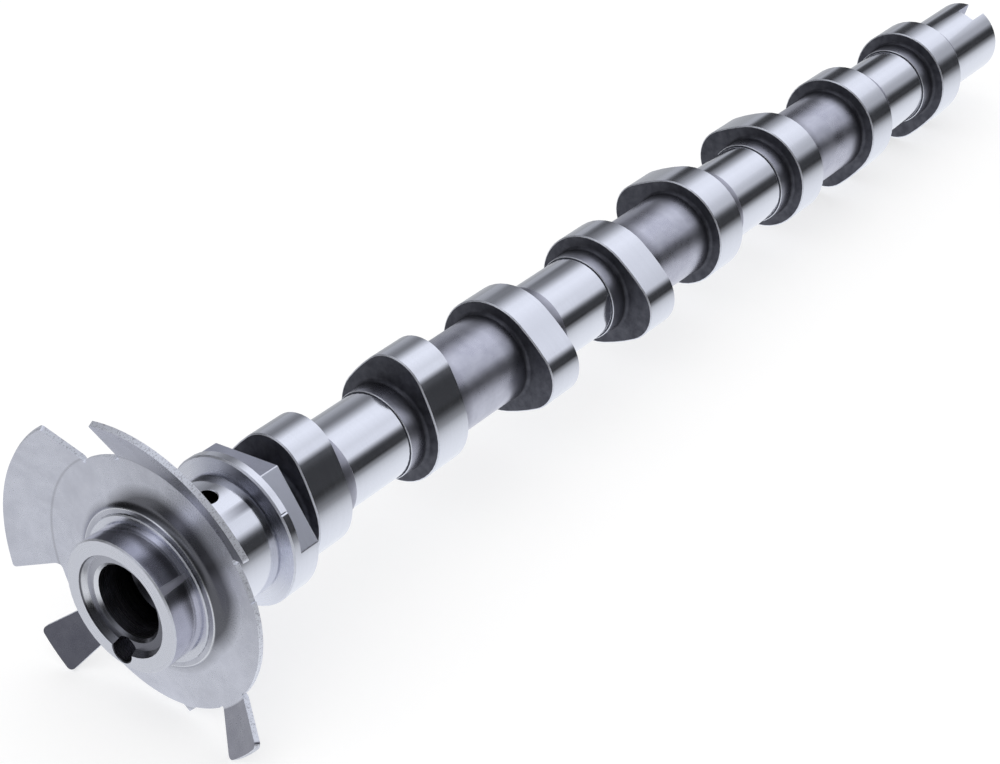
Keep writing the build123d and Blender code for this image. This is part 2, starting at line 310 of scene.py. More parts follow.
floor_paint = bpy.data.materials.new("studio_paper")
floor_paint.use_nodes = True
tree = floor_paint.node_tree
tree.nodes.clear()
axes = split(tree, add_node(tree, "ShaderNodeTexCoord").outputs["Object"])
across = fade(tree, axes["Y"], (-POOL_REACH, POOL_REACH))
pool_stops = [((place / POOL_REACH + 1) / 2, level) for place, level in FLOOR_POOL]
pool_light = grey_ramp(tree, across, pool_stops, POOL_TINT)
behind = fade(tree, axes["X"], REAR_ALONG, 0.0, REAR_SHADE)
aside = fade(tree, axes["Y"], REAR_ACROSS)
pool_light = blend_colour(tree, calc(tree, "MULTIPLY", behind, aside), pool_light, BLACK)
pool_light = blend_colour(tree, fade(tree, axes["X"], FRONT_ALONG), pool_light, FRONT_LIGHT)
pool = add_node(tree, "ShaderNodeEmission")
join(tree, pool_light, pool.inputs["Color"])
print("pool of light has", len(FLOOR_POOL), "stops")

# %% [markdown]
# ## Paper
# The camera sees white paper with the shaft's shadow on it. Half of the white is a glow of its
# own, so that the shadow stays as pale as on a lit table.

# %% Paper
PAPER_WHITE = 0.50
PAPER_GLOW = 0.56

paper = add_node(tree, "ShaderNodeBsdfDiffuse", Color=(PAPER_WHITE, PAPER_WHITE, PAPER_WHITE, 1.0))
glow = add_node(tree, "ShaderNodeEmission", Color=(1.0, 1.0, 1.0, 1.0), Strength=PAPER_GLOW)
lit_paper = add_node(tree, "ShaderNodeAddShader")
join(tree, paper.outputs[0], lit_paper.inputs[0])
join(tree, glow.outputs[0], lit_paper.inputs[1])
by_glossy_ray(tree, lit_paper, pool, "ShaderNodeOutputMaterial")
floor.data.materials.append(floor_paint)
print("floor is painted with", floor_paint.name)

# %% [markdown]
# ## Shared patterns
# Some effects turn up in several finishes, so each is a node group with named sockets. A group
# reads the place of a point on the part, in metres, and gives out masks, heights or distances.
# Most of them draw a noise texture out into lines or patches, with the helpers below.

# %% Pattern helpers
VECTOR = "NodeSocketVector"
NUMBER = "NodeSocketFloat"


def new_group(name, inputs, outputs):
    """A node group that takes a place and numbers. Gives its tree, its inputs and outputs."""
    tree = bpy.data.node_groups.new(name, "ShaderNodeTree")
    tree.interface.new_socket("Place", in_out="INPUT", socket_type=VECTOR)
    for label, value in inputs:
        socket = tree.interface.new_socket(label, in_out="INPUT", socket_type=NUMBER)
        socket.default_value = value
    for label in outputs:
        tree.interface.new_socket(label, in_out="OUTPUT", socket_type=NUMBER)
    inside = add_node(tree, "NodeGroupInput").outputs
    outside = add_node(tree, "NodeGroupOutput").inputs
    return tree, inside, outside


def scaled_place(tree, place, scale):
    """The place times a scale."""
    node = add_node(tree, "ShaderNodeVectorMath", operation="SCALE")
    join(tree, place, node.inputs[0])
    join(tree, scale, node.inputs["Scale"])
    return node.outputs[0]


def stretch(tree, vector, along, across):
    """The vector with its X and its Y and Z scaled, to draw a pattern out into lines."""
    node = add_node(tree, "ShaderNodeMapping", vector_type="POINT")
    join(tree, vector, node.inputs["Vector"])
    node.inputs["Scale"].default_value = (along, across, across)
    return node.outputs["Vector"]


def noise(tree, vector, scale, detail, roughness=0.5):
    """The value of a Noise Texture that reads this vector."""
    node = add_node(tree, "ShaderNodeTexNoise", Scale=scale, Detail=detail, Roughness=roughness)
    join(tree, vector, node.inputs["Vector"])
    return node.outputs["Fac"]


print("pattern helpers are ready")

# %% [markdown]
# ### Grinding marks
# A grinding stone leaves fine lines round a cylinder. A noise that is squeezed along the shaft
# and drawn out across it gives such lines. Two sizes of them are multiplied, so that the fine
# lines come and go in broad bands as the stone wears.

# %% Grinding marks
grinding, inside, outside = new_group("grinding_marks", [("Fineness", 1.0)], ["Lines", "Height"])
place = scaled_place(grinding, inside["Place"], inside["Fineness"])
fine_lines = noise(grinding, stretch(grinding, place, 9000.0, 60.0), 1.0, 2.0)
broad_lines = noise(grinding, stretch(grinding, place, 1300.0, 25.0), 1.0, 1.0)
join(grinding, calc(grinding, "MULTIPLY", fine_lines, broad_lines), outside["Lines"])
join(grinding, calc(grinding, "ADD", fine_lines, broad_lines), outside["Height"])
print("group", grinding.name)

# %% [markdown]
# ### Turning rings
# A lathe tool that faces off a part leaves circles round its axis. The distance from the axis
# is turned into a place of its own for the noise, and a little of Y and Z is added so that a
# ring isn't the same all the way round.

# %% Turning rings
RING_DRIFT = 40.0


def axis_distance(tree, place):
    """The parts of a place and its distance from the axis, in metres."""
    parts = split(tree, place)
    across = add_node(tree, "ShaderNodeCombineXYZ")
    join(tree, parts["Y"], across.inputs["Y"])
    join(tree, parts["Z"], across.inputs["Z"])
    length = add_node(tree, "ShaderNodeVectorMath", operation="LENGTH")
    join(tree, across.outputs[0], length.inputs[0])
    return parts, length.outputs["Value"]


def in_mm(tree, metres):
    """A length in mm."""
    return calc(tree, "MULTIPLY", metres, MM_PER_METRE)


turning, inside, outside = new_group("turning_rings", [("Rings per mm", 6.0)], ["Rings", "Height"])
parts, reach = axis_distance(turning, inside["Place"])
ring_number = calc(turning, "MULTIPLY", in_mm(turning, reach), inside["Rings per mm"])
ring_place = add_node(turning, "ShaderNodeCombineXYZ")
ring_and_depth = calc(turning, "ADD", ring_number, in_mm(turning, parts["X"]))
join(turning, ring_and_depth, ring_place.inputs["X"])
join(turning, calc(turning, "MULTIPLY", parts["Y"], RING_DRIFT), ring_place.inputs["Y"])
join(turning, calc(turning, "MULTIPLY", parts["Z"], RING_DRIFT), ring_place.inputs["Z"])
rings = noise(turning, ring_place.outputs[0], 1.0, 3.0, 0.6)
join(turning, rings, outside["Rings"])
join(turning, rings, outside["Height"])
print("group", turning.name)

# %% [markdown]
# ### Cast mottle
# A casting takes on the grain of its sand, and its skin cools unevenly. Two noises of unlike
# size stand for that: wide patches and a grain about nine times finer. Used lightly, the same
# mottle also keeps machined faces from looking too clean.

# %% Cast mottle
PATCH_SCALE = 0.35
GRAIN_SCALE = 3.0
PATCH_HEIGHT = 0.6

mottle, inside, outside = new_group(
    "cast_mottle", [("Grains per mm", 1.0)], ["Patches", "Grain", "Height"])
grains = calc(mottle, "MULTIPLY", inside["Grains per mm"], MM_PER_METRE)
place = scaled_place(mottle, inside["Place"], grains)
patches = noise(mottle, place, PATCH_SCALE, 3.0, 0.55)
grain = noise(mottle, place, GRAIN_SCALE, 3.0, 0.6)
join(mottle, remap(mottle, patches, 0.3, 0.7), outside["Patches"])
join(mottle, remap(mottle, grain, 0.3, 0.7), outside["Grain"])
low_hills = calc(mottle, "MULTIPLY", patches, PATCH_HEIGHT)
join(mottle, calc(mottle, "ADD", low_hills, grain), outside["Height"])
print("group", mottle.name)

# %% [markdown]
# ### Wipe marks
# Oil and fingers leave soft traces on steel. A slow noise with most of its range cut away gives
# separate smears with clean metal between them.

# %% Wipe marks
wipes, inside, outside = new_group("wipe_marks", [("Size in mm", 12.0)], ["Smears"])
marks = calc(wipes, "DIVIDE", MM_PER_METRE, inside["Size in mm"])
smears = noise(wipes, scaled_place(wipes, inside["Place"], marks), 1.0, 4.0, 0.55)
join(wipes, remap(wipes, smears, 0.38, 0.72), outside["Smears"])
print("group", wipes.name)

# %% [markdown]
# ### Across the shaft
# Painted shade, highlights and reflections, the darker band on the front journal and a rubbed
# streak lie on one side of the shaft. This group gives a point's distance from the axis, and how
# far it faces an angle in degrees: 1 is straight at it and -1 is opposite.

# %% Across the shaft
around, inside, outside = new_group(
    "across_the_shaft", [("Angle", 0.0)], ["Radius in mm", "Facing"])
parts, reach = axis_distance(around, inside["Place"])
turned = calc(around, "MULTIPLY", inside["Angle"], pi / 180)
side = calc(around, "MULTIPLY", parts["Y"], calc(around, "COSINE", turned))
rise = calc(around, "MULTIPLY", parts["Z"], calc(around, "SINE", turned))
join(around, in_mm(around, reach), outside["Radius in mm"])
facing = calc(around, "DIVIDE", calc(around, "ADD", side, rise), reach)
join(around, facing, outside["Facing"])
print("group", around.name)

# %% [markdown]
# ### Lobe distance
# The bar looks different close to a lobe. The lobes stand at the same distance on both sides of
# every bearing, so a Ping-Pong node folds the whole shaft onto one half of that pattern.

# %% Lobe distance
near_lobe, inside, outside = new_group("lobe_distance", [], ["Distance in mm"])
station = in_mm(near_lobe, split(near_lobe, inside["Place"])["X"])
along = calc(near_lobe, "SUBTRACT", station, FIRST_BEARING)
from_bearing = calc(near_lobe, "PINGPONG", along, BEARING_PITCH / 2)
from_lobe = calc(near_lobe, "SUBTRACT", from_bearing, LOBE_OFFSET)
join(near_lobe, calc(near_lobe, "ABSOLUTE", from_lobe), outside["Distance in mm"])
print("group", near_lobe.name)

# %% [markdown]
# ## Steel
# Every finish below is the same metal, so it starts as a metallic shader that reads the place of
# a point on the part. What makes one finish unlike the next is its tone, its roughness and the
# depth of its marks, and these are joined last.

# %% Steel maker
def steel(name, metallic=1.0):
    """A new steel material. Gives its tree too, and the place of a point on the part."""
    material = bpy.data.materials.new(name)
    material.use_nodes = True
    tree = material.node_tree
    tree.nodes["Principled BSDF"].inputs["Metallic"].default_value = metallic
    return material, tree, add_node(tree, "ShaderNodeTexCoord").outputs["Object"]


def use_group(tree, group, place, **values):
    """The outputs of a node group that is placed in a material with its own values."""
    node = add_node(tree, "ShaderNodeGroup", node_tree=group)
    join(tree, place, node.inputs["Place"])
    for name, value in values.items():
        node.inputs[name.replace("_", " ")].default_value = value
    return node.outputs


def tint(tree, mask, strength, tone, colour):
    """The tone with a colour over it, as strong as the mask times the strength."""
    return blend_colour(tree, calc(tree, "MULTIPLY", mask, strength), tone, colour)


def complete(material, tone, rough, height, depth):
    """Join a steel's tone and roughness, and a relief of this height, its depth in mm."""
    tree = material.node_tree
    shader = tree.nodes["Principled BSDF"]
    bump = add_node(tree, "ShaderNodeBump", Strength=1.0, Distance=depth * MM)
    join(tree, tone, shader.inputs["Base Color"])
    join(tree, rough, shader.inputs["Roughness"])
    join(tree, height, bump.inputs["Height"])
    join(tree, bump.outputs[0], shader.inputs["Normal"])
    print("material", material.name)


print("steel maker is ready")

# %% [markdown]
# ## Ground steel
# Journals and lobes are ground between centres. The stone leaves lines round the shaft that
# are too fine to see one by one, and they blur the mirror a little. The hub is ground too, with
# a dull streak that was rubbed along it, and its copy of the finish is darker: painted shade for
# the darker reflection that it shows. A narrow darker band runs along one side of the front
# journal.

# %% Ground steel
# Where the darker band and the streak lie: their angle, how far a point has to face it for
# them to start and be full, and their ends along the shaft
DARK_BAND_ANGLE = 122.0
DARK_BAND_FACING = (0.9945, 0.9993)
DARK_BAND_START = (25.0, 35.0)
DARK_BAND_END = (36.0, 37.0)
STREAK_ANGLE = 142.0
STREAK_FACING = (0.9975, 0.9999)
STREAK_ALONG = (1.0, 7.5)
STREAK_ROUGHNESS = 0.6
SPECK_GREY = (0.45, 0.45, 0.48)
DARK_BAND_GREY = (0.12, 0.12, 0.14)


def ground_finish(name, light, dark, rub=0.0):
    """A ground steel between two tones, with a share of a rubbed streak along the shaft."""
    material, tree, place = steel(name)
    lines = use_group(tree, grinding, place)
    smear = use_group(tree, wipes, place, Size_in_mm=14.0)
    skin = use_group(tree, mottle, place, Grains_per_mm=1.6)
    station = split(tree, place)["X"]
    # A narrow darker band along one side of the front journal
    band_along = calc(tree, "MULTIPLY", fade(tree, station, DARK_BAND_START),
                fade(tree, station, DARK_BAND_END, 1.0, 0.0))
    spot = use_group(tree, around, place, Angle=DARK_BAND_ANGLE)
    dark_band = calc(tree, "MULTIPLY", band_along, remap(tree, spot["Facing"], *DARK_BAND_FACING, 0.0, 0.8))
    specks = remap(tree, skin["Grain"], 0.55, 1.0, 0.0, 0.12)
    tone = blend_colour(tree, lines["Lines"], light, dark)
    tone = blend_colour(tree, specks, tone, SPECK_GREY)
    tone = blend_colour(tree, dark_band, tone, DARK_BAND_GREY)
    streak = use_group(tree, around, place, Angle=STREAK_ANGLE)
    facing_mask = calc(tree, "MULTIPLY", remap(tree, streak["Facing"], *STREAK_FACING, 0.0, rub),
                  fade(tree, station, STREAK_ALONG, 1.0, 0.35))
    rough = calc(tree, "ADD", remap(tree, lines["Lines"], 0.1, 0.5, 0.07, 0.13),
                 calc(tree, "MULTIPLY", smear["Smears"], 0.05))
    rough = calc(tree, "ADD", rough, calc(tree, "MULTIPLY", facing_mask, STREAK_ROUGHNESS))
    complete(material, tone, rough, lines["Height"], 0.0006)
    return material


ground_steel = ground_finish("ground_steel", (0.83, 0.84, 0.90), (0.78, 0.79, 0.85))
# The hub's copy is darker: painted shade for the darker reflection that it shows
hub_steel = ground_finish("hub_steel", (0.75, 0.75, 0.83), (0.69, 0.69, 0.77), rub=1.0)

# %% [markdown]
# ## Broken edges
# Every ground or turned edge is broken with a small chamfer. It is rubbed bright in use and
# scatters light from all sides, which draws a thin light line along the edge. So it is lighter
# and a little less metallic than the faces beside it.

# %% Broken edges
bright_edge, tree, place = steel("bright_edge", 0.85)
skin = use_group(tree, mottle, place, Grains_per_mm=2.5)
tone = blend_colour(tree, skin["Grain"], (0.89, 0.91, 0.97), (0.66, 0.67, 0.74))
rough = remap(tree, skin["Patches"], 0.0, 1.0, 0.30, 0.48)
complete(bright_edge, tone, rough, skin["Height"], 0.01)

# %% [markdown]
# ## Turned faces
# The hub's face, the recess and the end of the shaft were faced off in a lathe. The tool
# leaves circles, which spread the light over a wide soft gloss. The recess floor is a darker
# copy of the finish, painted shade in the recess, and its wall a lighter copy, a painted
# highlight. Both have more painted shade in the lower part and on the near side, and the wall a
# thin dark line of it at its mouth. The flange's face has painted shade on one side.

# %% Turned steel
# Each side with painted shade: its angle, and how far a point has to face it for the shade to
# start and be full
LOW_SIDE = (70.0, 0.15, -0.35)
NEAR_SIDE = (145.0, 0.80, 0.92)
THRUST_SIDE = (125.0, 0.72, 0.93)
DARK_MOUTH = (0.35, 0.60)
PAINTED_SHADE_GREY = (0.10, 0.10, 0.12)


def turned_finish(name, dark, light, shade_share=0.0, shaded_sides=(), mouth=0.0):
    """A steel faced off in a lathe, between two tones, with painted shade on some sides and at its
    mouth.
    """
    material, tree, place = steel(name)
    rings = use_group(tree, turning, place, Rings_per_mm=7.0)
    smear = use_group(tree, wipes, place, Size_in_mm=9.0)
    # Painted shade at the mouth and on the sides that are given
    painted_shade = fade(tree, split(tree, place)["X"], DARK_MOUTH, mouth, 0.0)
    for angle, start, full in shaded_sides:
        spot = use_group(tree, around, place, Angle=angle)
        side = remap(tree, spot["Facing"], start, full, 0.0, shade_share)
        painted_shade = calc(tree, "MAXIMUM", painted_shade, side)
    tone = blend_colour(tree, rings["Rings"], dark, light)
    tone = blend_colour(tree, painted_shade, tone, PAINTED_SHADE_GREY)
    rough = calc(tree, "ADD", remap(tree, rings["Rings"], 0.3, 0.7, 0.20, 0.30),
                 calc(tree, "MULTIPLY", smear["Smears"], 0.08))
    complete(material, tone, rough, rings["Height"], 0.0018)
    return material


turned_steel = turned_finish("turned_steel", (0.76, 0.77, 0.83), (0.83, 0.84, 0.90))
# A slightly darker copy, with painted shade on one side of the flange's face
thrust_face = turned_finish(
    "thrust_face", (0.73, 0.74, 0.80), (0.80, 0.81, 0.87), 0.7, [THRUST_SIDE])
# A darker copy: painted shade in the recess, more of it on the low and near sides
recess_floor = turned_finish(
    "recess_floor", (0.44, 0.44, 0.49), (0.56, 0.57, 0.62), 0.8, [LOW_SIDE, NEAR_SIDE])
# A lighter copy, a painted highlight, with painted shade on the low and near sides and at the
# mouth
recess_wall = turned_finish(
    "recess_wall", (0.90, 0.91, 0.96), (0.96, 0.97, 1.00), 0.85, [LOW_SIDE, NEAR_SIDE], mouth=0.9)

# %% [markdown]
# ## Cast bar
# Between the journals the bar keeps its casting skin, brushed to a satin. The brush draws
# streaks along the bar. Towards the roots of the lobes the bar is darkened with painted shade,
# where it mirrors the dark faces of the lobes.

# %% Cast bar
# Distance from a lobe's side at which the painted shade at its root is full and gone
ROOT_SHADE_ALONG = (1.0, 7.5)
ROOT_SHADE_GREY = (0.085, 0.085, 0.10)
BRUSH_GREY = (0.33, 0.33, 0.40)
SHINE_GREY = (0.72, 0.73, 0.78)

cast_bar, tree, place = steel("cast_bar")
skin = use_group(tree, mottle, place, Grains_per_mm=0.8)
smear = use_group(tree, wipes, place, Size_in_mm=10.0)
streaks = noise(tree, stretch(tree, place, 60.0, 900.0), 1.0, 3.0, 0.6)
tone = blend_colour(tree, skin["Patches"], (0.49, 0.49, 0.57), (0.59, 0.59, 0.67))
tone = blend_colour(tree, remap(tree, streaks, 0.45, 0.75, 0.0, 0.16), tone, BRUSH_GREY)
tone = tint(tree, smear["Smears"], 0.22, tone, SHINE_GREY)
lobe = use_group(tree, near_lobe, place)
lines = use_group(tree, grinding, place, Fineness=0.12)
# Painted shade towards the roots of the lobes, where the bar mirrors their dark faces
full, gone = [LOBE_WIDTH / 2 + distance for distance in ROOT_SHADE_ALONG]
root_shade = remap(tree, lobe["Distance in mm"], full, gone, 0.92, 0.0)
root_shade = calc(tree, "MULTIPLY", root_shade, remap(tree, lines["Lines"], 0.1, 0.6, 1.0, 0.7))
tone = blend_colour(tree, root_shade, tone, ROOT_SHADE_GREY)
rough = calc(tree, "ADD", remap(tree, skin["Grain"], 0.0, 1.0, 0.24, 0.30),
             calc(tree, "MULTIPLY", smear["Smears"], 0.10))
complete(cast_bar, tone, rough, skin["Height"], 0.005)

# %% [markdown]
# ## Lobe faces
# The side faces of the lobes are never touched by a tool. They keep the full relief of the
# casting and are nearly black, with a grain that catches a little light.

# %% Lobe faces
lobe_face, tree, place = steel("lobe_face")
skin = use_group(tree, mottle, place, Grains_per_mm=1.1)
tone = blend_colour(tree, skin["Patches"], (0.058, 0.059, 0.072), (0.120, 0.122, 0.140))
tone = tint(tree, skin["Grain"], 0.35, tone, (0.16, 0.16, 0.185))
rough = remap(tree, skin["Grain"], 0.0, 1.0, 0.42, 0.6)
complete(lobe_face, tone, rough, skin["Height"], 0.04)

# %% [markdown]
# ## Milled flats
# A cutter milled the flats in parallel passes, which are finer than the eye can part at this
# distance and leave an even satin. One of the flats is painted lighter, a painted highlight for
# the light that it mirrors.

# %% Milled steel
LIT_FLAT_ANGLE = 144.0
LIT_FLAT_FACING = (0.86, 0.87)

milled_steel, tree, place = steel("milled_steel")
passes = noise(tree, stretch(tree, place, 5000.0, 160.0), 1.0, 2.0)
smear = use_group(tree, wipes, place, Size_in_mm=5.0)
skin = use_group(tree, mottle, place, Grains_per_mm=2.0)
tone = blend_colour(tree, skin["Grain"], (0.54, 0.55, 0.64), (0.68, 0.69, 0.79))
tone = tint(tree, smear["Smears"], 0.4, tone, (0.44, 0.45, 0.51))
# Painted highlight: the flat that faces this angle is painted lighter
spot = use_group(tree, around, place, Angle=LIT_FLAT_ANGLE)
facing_mask = remap(tree, spot["Facing"], *LIT_FLAT_FACING)
tone = tint(tree, facing_mask, 0.75, tone, (0.88, 0.90, 0.99))
rough = remap(tree, passes, 0.3, 0.7, 0.46, 0.58)
complete(milled_steel, tone, rough, calc(tree, "ADD", passes, skin["Height"]), 0.006)

# %% [markdown]
# ## Bore
# The bore is drilled and reamed. Its tones are dark, painted shade inside the hole, and the
# painted shade deepens the further in it goes. The pin hole beside it is as dark.

# %% Oiled bore
SHADE_DEPTH = (6.0, 12.0)
DEPTH_SHADE_GREY = (0.03, 0.03, 0.035)

shaded_bore, tree, place = steel("shaded_bore")
lines = use_group(tree, grinding, place, Fineness=0.4)
smear = use_group(tree, wipes, place, Size_in_mm=4.0)
# Dark tones: painted shade inside the holes
tone = blend_colour(tree, smear["Smears"], (0.28, 0.28, 0.31), (0.42, 0.42, 0.46))
# Painted shade that deepens further along the bore
depth_shade = fade(tree, split(tree, place)["X"], SHADE_DEPTH, 0.0, 0.9)
tone = blend_colour(tree, depth_shade, tone, DEPTH_SHADE_GREY)
rough = remap(tree, lines["Lines"], 0.1, 0.5, 0.22, 0.36)
complete(shaded_bore, tone, rough, lines["Height"], 0.004)

# %% [markdown]
# ## Painted light on the sheet
# The wheel's collar is drawn out of the sheet by a die. Round the collar the sheet gets a painted
# dark reflection of the hub, widest on the upper right, and the collar's lip a thin painted
# highlight. A thin line of painted shade marks where the vanes are bent. All three follow the
# distance from the axis, so one helper paints them over the tone of the sheet.

# %% Painted light on the sheet
# Painted dark reflection of the hub round the collar, a painted highlight on the lip and a line of
# painted shade at the bend
HUB_REFLECTION_ANGLE = 130.0
HUB_REFLECTION_FACING = (0.25, 0.85)
HUB_REFLECTION_START = 23.4
HUB_REFLECTION_REACH = 8.0
HUB_REFLECTION_FADE = 5.0
HUB_REFLECTION_MOST = 0.9
HUB_REFLECTION_GREY = (0.09, 0.09, 0.10)
LIP_RADIUS = 21.4
LIP_HIGHLIGHT_LINE = (0.1, 0.22)
LIP_HIGHLIGHT_GREY = (0.90, 0.91, 0.94)
BEND_RADIUS = 34.6
BEND_SHADE_LINE = (0.1, 0.4)
BEND_SHADE_GREY = (0.30, 0.30, 0.32)


def ring_line(tree, reach, radius, edges, share):
    """A mask of a thin line at this radius, between the half widths where it fades."""
    distance = calc(tree, "ABSOLUTE", calc(tree, "SUBTRACT", reach, radius))
    return remap(tree, distance, *edges, share, 0.0)


def paint_collar_light(tree, place, tone):
    """The tone of the sheet with the painted reflection of the hub, the painted highlight on the
    lip and the painted shade of the bend.
    """
    # Painted reflection of the hub, painted highlight on the lip and painted shade at the bend
    spot = use_group(tree, around, place, Angle=HUB_REFLECTION_ANGLE)
    reach = spot["Radius in mm"]
    width = remap(tree, spot["Facing"], *HUB_REFLECTION_FACING, 0.12, 1.0)
    edge = calc(tree, "ADD", calc(tree, "MULTIPLY", width, HUB_REFLECTION_REACH), HUB_REFLECTION_START)
    painted_light = calc(tree, "DIVIDE", calc(tree, "SUBTRACT", edge, reach), HUB_REFLECTION_FADE, clamp=True)
    hold = calc(tree, "ADD", remap(tree, reach, LIP_RADIUS, LIP_RADIUS + 0.4, 0.2, 0.85),
                calc(tree, "MULTIPLY", width, 0.4))
    painted_light = calc(tree, "MULTIPLY", painted_light, calc(tree, "MINIMUM", hold, HUB_REFLECTION_MOST))
    painted_light = calc(tree, "MAXIMUM", painted_light, calc(tree, "MULTIPLY", width, 0.25))
    tone = blend_colour(tree, painted_light, tone, HUB_REFLECTION_GREY)
    lip_highlight = ring_line(tree, reach, LIP_RADIUS, LIP_HIGHLIGHT_LINE, 1.0)
    tone = blend_colour(tree, lip_highlight, tone, LIP_HIGHLIGHT_GREY)
    bend_shade = ring_line(tree, reach, BEND_RADIUS, BEND_SHADE_LINE, 0.35)
    return blend_colour(tree, bend_shade, tone, BEND_SHADE_GREY)


print("film reaches", HUB_REFLECTION_START + HUB_REFLECTION_REACH, "mm from the axis")

# %% [markdown]
# ## Sheet steel
# The wheel is pressed from rolled sheet. Its faces are satin, with soft smears from handling.
# The two narrow vanes are darker copies, painted shade for the darker reflections that they
# show, so they get finishes of their own.

# %% Sheet steel
def sheet_finish(name, dark, light, painted_light=False):
    """A satin rolled sheet between two tones, with or without the painted light round the collar.
    """
    material, tree, place = steel(name)
    skin = use_group(tree, mottle, place, Grains_per_mm=0.9)
    smear = use_group(tree, wipes, place, Size_in_mm=17.0)
    tone = blend_colour(tree, skin["Patches"], dark, light)
    tone = tint(tree, smear["Smears"], 0.2, tone, (0.30, 0.30, 0.33))
    if painted_light:
        tone = paint_collar_light(tree, place, tone)
    rough = calc(tree, "ADD", remap(tree, skin["Grain"], 0.0, 1.0, 0.22, 0.28),
                 calc(tree, "MULTIPLY", smear["Smears"], 0.08))
    complete(material, tone, rough, skin["Height"], 0.0025)
    return material


# The two narrow vanes are darker copies of the sheet: painted shade for the darker reflections
# that they show
shaded_right_tab = sheet_finish("right_tab_face", (0.34, 0.34, 0.39), (0.40, 0.40, 0.45))
shaded_left_tab = sheet_finish("left_tab_face", (0.145, 0.145, 0.175), (0.175, 0.175, 0.205))
sheet_steel = sheet_finish("sheet_face", (0.74, 0.75, 0.83), (0.82, 0.83, 0.91), painted_light=True)

# %% [markdown]
# ## Sheared edges
# A punch burnishes a part of the sheet's thickness and tears the rest. So the edges of the
# wheel are rough and speckled, and scatter light to all sides.

# %% Sheared edges
sheared_edge, tree, place = steel("sheared_edge", 0.8)
skin = use_group(tree, mottle, place, Grains_per_mm=3.0)
tears = noise(tree, stretch(tree, place, 1600.0, 2600.0), 1.0, 4.0, 0.7)
torn = remap(tree, tears, 0.5, 0.7)
tone = blend_colour(tree, torn, (0.86, 0.88, 0.95), (0.36, 0.36, 0.41))
rough = remap(tree, skin["Grain"], 0.0, 1.0, 0.38, 0.55)
complete(sheared_edge, tone, rough, calc(tree, "ADD", tears, skin["Height"]), 0.02)

# %% [markdown]
# ## Even shading
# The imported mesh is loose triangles, and each CAD face brings normals of its own. Where two
# faces run into each other, as the arcs of a lobe do, a mirror shows the seam. Three modifiers
# mend that and leave the mesh as it is: weld the triangles, split them again at real edges, and
# work the normals out afresh.

# %% Even shading
WELD_DISTANCE = 0.001
EDGE_ANGLE = 25.0


def even_shading(node):
    """Weld a CAD node's triangles and shade them smooth, up to its real edges."""
    weld = node.modifiers.new("weld", "WELD")
    weld.merge_threshold = WELD_DISTANCE * MM
    real_edges = node.modifiers.new("real_edges", "EDGE_SPLIT")
    real_edges.split_angle = radians(EDGE_ANGLE)
    real_edges.use_edge_sharp = False
    normals = node.modifiers.new("even_normals", "WEIGHTED_NORMAL")
    normals.mode = "CORNER_ANGLE"
    print(node.name, "is shaded by", len(node.modifiers), "modifiers")


for node in (camshaft, sensor_wheel):
    even_shading(node)

# %% [markdown]
# ## Which finish goes where
# Each CAD node arrives as one mesh with one slot. A finish is chosen for each face from its
# place along the shaft, its distance from the axis and the way it looks. The shapes stay as
# they are: only the slot that each face uses is set. How much of a face's normal lies along the
# shaft tells a wall, which runs along it, from a flat face across it and a chamfer in between.

# %% Dress a node
WALL = 0.3
FACE = 0.95
NEAR = 0.1
TOUCH = 0.01


def outwardness(middle, normal, radius):
    """How far a face looks away from the axis: 1 is straight out and -1 is straight in."""
    return (normal.y * middle.y + normal.z * middle.z) / max(radius, TOUCH)


def dress(node, finishes, choose):
    """Give a CAD node its finishes, and each face the slot of the one that is chosen for it."""
    polygons = node.data.polygons
    chosen = [finishes.index(choose(face.center / MM, face.normal)) for face in polygons]
    node.data.materials.clear()
    for finish in finishes:
        node.data.materials.append(finish)
    polygons.foreach_set("material_index", chosen)
    print(node.name, {finish.name: chosen.count(slot) for slot, finish in enumerate(finishes)})


print("walls are under", WALL, "and faces over", FACE)

# %% [markdown]
# ### Front end
# The hub, its recess, the pin hole and the bore overlap along the shaft, so here the distance
# from the axis decides. A face that looks towards the axis is inside a hole.

# %% Finish of the front end
RECESS_FLOOR = 1.9
BORE_MOUTH = 2.8
PIN_HOLE = (10.2, 17.2)
PIN_HOLE_END = 6.7
HUB_INSIDE = 17.0
JOURNAL_INSIDE = 15.0
SIDEWAYS = 0.5
STRAIGHT_OUT = 0.98


def front_finish(x, radius, outward, along):
    """Finish of a face of the hub, the wheel seat or the front journal."""
    if PIN_HOLE[0] < radius < PIN_HOLE[1] and x < PIN_HOLE_END:
        if outward < STRAIGHT_OUT and along < WALL:
            return shaded_bore
        if along > FACE and x > RECESS_FLOOR + 2 * NEAR:
            return shaded_bore
    if BORE_MOUTH < x < SEAT_REAR and (outward < 0.0 or radius < HUB_INSIDE):
        return shaded_bore
    if (along < WALL and outward < SIDEWAYS) or (x > SEAT_REAR and radius < JOURNAL_INSIDE):
        return shaded_bore
    if along > FACE:
        return recess_floor if abs(x - RECESS_FLOOR) < NEAR else turned_steel
    if along > WALL:
        return bright_edge if outward > 0.0 else recess_wall
    return hub_steel if x < HUB_REAR else ground_steel


print("front end ends at", FLANGE_FRONT)

# %% [markdown]
# ### Flange
# Its rim is ground and its front is the thrust face. Behind the rim it has flats, whose normals
# stand at multiples of 60 degrees from the first one. What looks elsewhere is a broken edge.

# %% Finish of the flange
FLAT_ANGLE = 24.0
FLAT_PITCH = 60.0
FLATS_RADIUS = 20.9
FLANGE_INSIDE = 10.0


